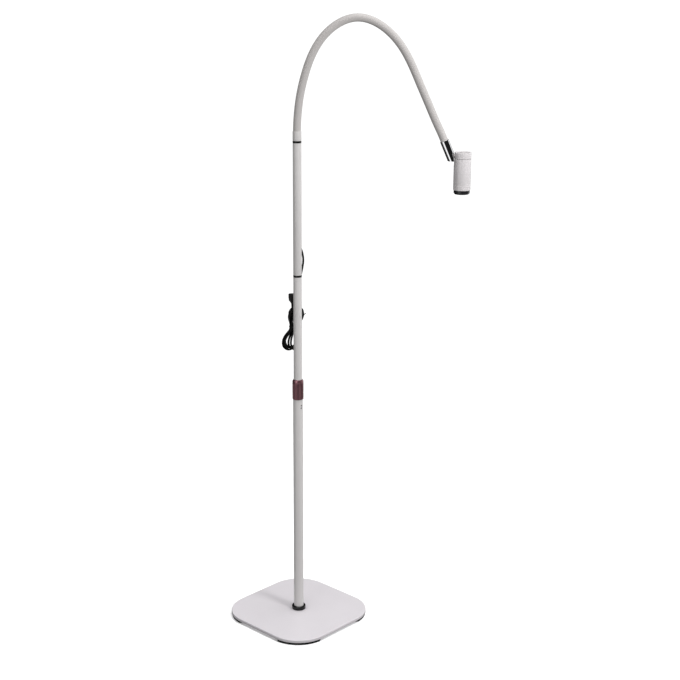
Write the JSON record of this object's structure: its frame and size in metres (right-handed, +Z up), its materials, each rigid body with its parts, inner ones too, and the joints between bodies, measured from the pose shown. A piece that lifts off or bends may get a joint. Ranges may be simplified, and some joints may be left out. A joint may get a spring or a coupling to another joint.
{
  "type": "gooseneck reading floor lamp",
  "caption": "Reading floor lamp: square weighted base, telescopic pole with a twist lock, bendable gooseneck and a small swivelling spotlight head, with its lead tied behind the pole",
  "frame": {"origin": "point on the floor under the pole's axis, at the centre of the base", "axes": "+Z up along the pole; +X from the pole towards the lamp head at rest, with a corner of the base on each of the X and Y axes"},
  "size_m": [0.5973, 0.3538, 1.5437],
  "materials": {
    "white_paint": "satin",
    "pad_rubber": "matte",
    "zinc_steel": "satin",
    "spring_steel": "satin",
    "black_gloss": "gloss",
    "black_plastic": "satin",
    "nylon": "satin",
    "collar_finish": "satin",
    "white_sleeve": "satin",
    "black_rubber": "matte",
    "polished_chrome": "polished",
    "head_white": "satin",
    "button_white": "satin",
    "bezel_dark": "satin",
    "lens_glass": "gloss",
    "reflector_white": "gloss",
    "led_yellow": "satin",
    "board_white": "satin",
    "bare_aluminium": "satin",
    "board_green": "satin",
    "cord_black": "satin",
    "tie_black": "satin",
    "plug_black": "satin",
    "blade_metal": "satin"
  },
  "bodies": {
    "stand": {"base_plate": "white_paint", "corner_pads": "pad_rubber", "base_washer": "zinc_steel", "base_bolt": "zinc_steel", "pole_flange": "black_gloss", "lower_tube": "white_paint", "tube_foot_plug": "zinc_steel", "pole_collet": "nylon"},
    "collar": {"lock_collar": "collar_finish"},
    "pole_guide": {"guide_bush": "nylon"},
    "upper_pole": {"guide_screw": "zinc_steel", "tube_foot_insert": "zinc_steel", "middle_tube": "white_paint", "joint_stud": "zinc_steel", "joint_ring_lower": "black_plastic", "tube_insert_lower": "zinc_steel", "top_tube": "white_paint", "tube_insert_upper": "zinc_steel", "joint_ring_upper": "black_plastic", "gooseneck_ferrule": "white_paint", "strain_relief": "black_rubber", "gooseneck_sleeve_root": "white_sleeve", "gooseneck_core_root": "spring_steel", "power_cord": "cord_black", "cord_hank": "cord_black", "cord_tie": "tie_black", "power_plug": "plug_black", "plug_blades": "blade_metal"},
    "link_01": {"gooseneck_sleeve_01": "white_sleeve", "gooseneck_core_01": "spring_steel"},
    "link_02": {"gooseneck_sleeve_02": "white_sleeve", "gooseneck_core_02": "spring_steel"},
    "link_03": {"gooseneck_sleeve_03": "white_sleeve", "gooseneck_core_03": "spring_steel"},
    "link_04": {"gooseneck_sleeve_04": "white_sleeve", "gooseneck_core_04": "spring_steel"},
    "link_05": {"gooseneck_sleeve_05": "white_sleeve", "gooseneck_core_05": "spring_steel"},
    "link_06": {"gooseneck_sleeve_06": "white_sleeve", "gooseneck_core_06": "spring_steel"},
    "link_07": {"gooseneck_sleeve_07": "white_sleeve", "gooseneck_core_07": "spring_steel"},
    "link_08": {"gooseneck_sleeve_08": "white_sleeve", "gooseneck_core_08": "spring_steel"},
    "link_09": {"gooseneck_sleeve_09": "white_sleeve", "gooseneck_core_09": "spring_steel", "chrome_connector": "polished_chrome", "swivel_washer": "nylon", "swivel_screw": "zinc_steel"},
    "lamp_head": {"head_cap": "head_white", "head_housing": "head_white", "front_bezel": "bezel_dark", "lens": "lens_glass", "light_guide": "reflector_white", "led_chip": "led_yellow", "led_board": "board_white", "heat_sink": "bare_aluminium", "driver_board": "board_green", "tactile_switch": "black_plastic"},
    "button": {"power_button": "button_white"}
  },
  "joints": [
    {"name": "collar_twist", "type": "hinge", "parent": "stand", "child": "collar", "pos_m": [0, 0, 0.62], "axis": [0, 0, 1], "range_deg": [0, 90]},
    {"name": "pole_height", "type": "slide", "parent": "stand", "child": "pole_guide", "axis": [0, 0, 1], "range_m": [-0.26, 0.2]},
    {"name": "pole_swivel", "type": "hinge", "parent": "pole_guide", "child": "upper_pole", "pos_m": [0, 0, 0.36], "axis": [0, 0, 1], "continuous": true},
    {"name": "gooseneck_bend_01", "type": "hinge", "parent": "upper_pole", "child": "link_01", "pos_m": [0.0016, 0, 1.3055], "axis": [0, 1, 0], "range_deg": [-10, 6]},
    {"name": "gooseneck_bend_02", "type": "hinge", "parent": "link_01", "child": "link_02", "pos_m": [0.01702, 0, 1.39454], "axis": [0, 1, 0], "range_deg": [-12.5, 6]},
    {"name": "gooseneck_bend_03", "type": "hinge", "parent": "link_02", "child": "link_03", "pos_m": [0.04718, 0, 1.46938], "axis": [0, 1, 0], "range_deg": [-21.5, 6]},
    {"name": "gooseneck_bend_04", "type": "hinge", "parent": "link_03", "child": "link_04", "pos_m": [0.09313, 0, 1.51772], "axis": [0, 1, 0], "range_deg": [-28.5, 5]},
    {"name": "gooseneck_bend_05", "type": "hinge", "parent": "link_04", "child": "link_05", "pos_m": [0.14503, 0, 1.53429], "axis": [0, 1, 0], "range_deg": [-34, 5]},
    {"name": "gooseneck_bend_06", "type": "hinge", "parent": "link_05", "child": "link_06", "pos_m": [0.19901, 0, 1.51614], "axis": [0, 1, 0], "range_deg": [-26, 5]},
    {"name": "gooseneck_bend_07", "type": "hinge", "parent": "link_06", "child": "link_07", "pos_m": [0.2495, 0, 1.46574], "axis": [0, 1, 0], "range_deg": [-18, 6]},
    {"name": "gooseneck_bend_08", "type": "hinge", "parent": "link_07", "child": "link_08", "pos_m": [0.29056, 0, 1.38571], "axis": [0, 1, 0], "range_deg": [-12, 8]},
    {"name": "gooseneck_bend_09", "type": "hinge", "parent": "link_08", "child": "link_09", "pos_m": [0.33424, 0, 1.28923], "axis": [0, 1, 0], "range_deg": [-12, 8]},
    {"name": "head_swivel", "type": "hinge", "parent": "link_09", "child": "lamp_head", "pos_m": [0.38, 0, 1.21], "axis": [1, 0, 0], "range_deg": [-135, 135]},
    {"name": "button_press", "type": "slide", "parent": "lamp_head", "child": "button", "axis": [0, 0, -1], "range_m": [0, 0.001], "stiffness_N_per_m": 600}
  ]
}
